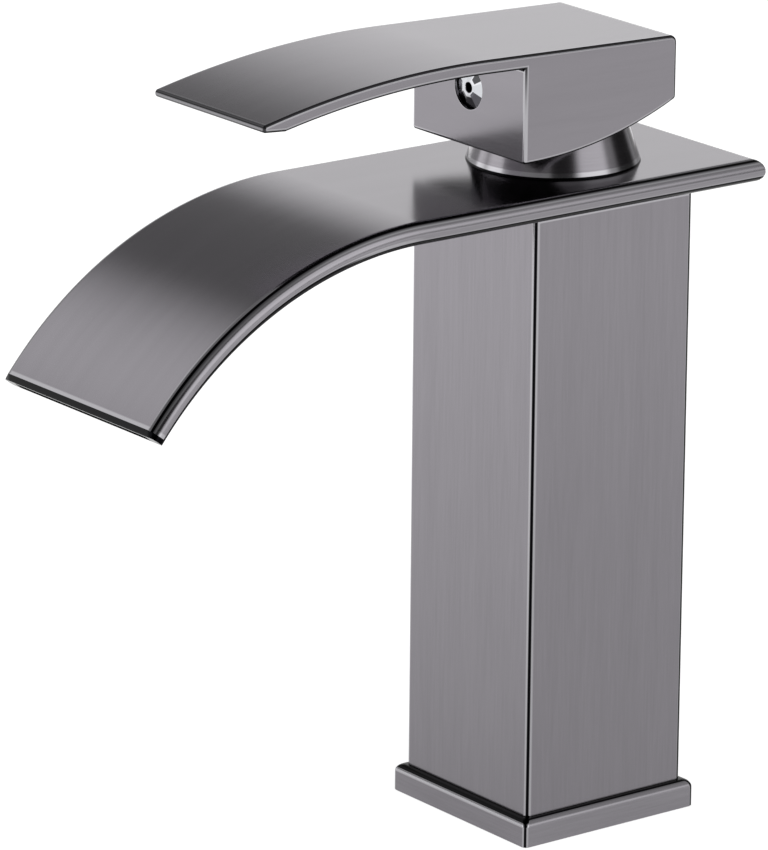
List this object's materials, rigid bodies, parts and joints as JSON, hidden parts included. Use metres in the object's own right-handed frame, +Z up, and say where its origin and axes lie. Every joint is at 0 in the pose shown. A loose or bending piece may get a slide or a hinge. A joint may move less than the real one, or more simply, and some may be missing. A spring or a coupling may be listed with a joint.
{
  "type": "basin mixer tap",
  "caption": "Single-lever basin mixer tap: square column on a square base, wide flat waterfall spout that curves down, flat arched lever on a block.",
  "frame": {"origin": "centre of the square base on the deck, at the mouth of the fixing stud's hole", "axes": "+Z up along the column and the lever's turning axis, -Y forward along the spout, +X to the right seen from behind the tap; the plane X = 0 is the plane of symmetry"},
  "size_m": [0.0578, 0.1701, 0.186],
  "materials": {
    "brushed_gunmetal": "brushed gunmetal grey coating on brass",
    "casting": "sand-cast brass, bare, with machined seats",
    "turned_brass": "turned brass, bare",
    "steel": "turned stainless steel",
    "chrome": "polished chrome plate",
    "cartridge_plastic": "moulded acetal, off-white",
    "ceramic": "lapped alumina ceramic",
    "seal_rubber": "moulded black rubber"
  },
  "bodies": {
    "tap_body": {"base_plate": "brushed_gunmetal", "base_seal": "seal_rubber", "column": "brushed_gunmetal", "column_foot": "turned_brass", "valve_block": "casting", "spout_gasket": "seal_rubber", "spout_lower_shell": "brushed_gunmetal", "spout_upper_shell": "brushed_gunmetal", "cartridge_foot": "cartridge_plastic", "lower_port_seals": "seal_rubber", "upper_port_seals": "seal_rubber", "fixed_disc": "ceramic", "cartridge_housing": "cartridge_plastic", "cartridge_nut": "turned_brass", "spout_clamp_nut": "turned_brass", "trim_o_ring": "seal_rubber", "trim_ring": "brushed_gunmetal"},
    "turret": {"stem_turret": "cartridge_plastic", "pivot_pin": "steel"},
    "lever": {"lever_stem": "steel", "handle": "brushed_gunmetal", "handle_screw": "chrome"},
    "mixing_disc": {"moving_disc": "ceramic", "disc_carrier": "cartridge_plastic"}
  },
  "joints": [
    {"name": "handle_turn", "type": "hinge", "parent": "tap_body", "child": "turret", "pos_m": [0, 0, 0.14595], "axis": [0, 0, 1], "range_deg": [-45, 45]},
    {"name": "handle_lift", "type": "hinge", "parent": "turret", "child": "lever", "pos_m": [0, 0, 0.14595], "axis": [-1, 0, 0], "range_deg": [0, 20]},
    {"name": "disc_slide", "type": "slide", "parent": "turret", "child": "mixing_disc", "axis": [0, -1, 0], "range_m": [0, 0.0032]}
  ],
  "couplings": [
    {"joint": "disc_slide", "follows": "handle_lift", "m_per_rad": 0.00885}
  ]
}
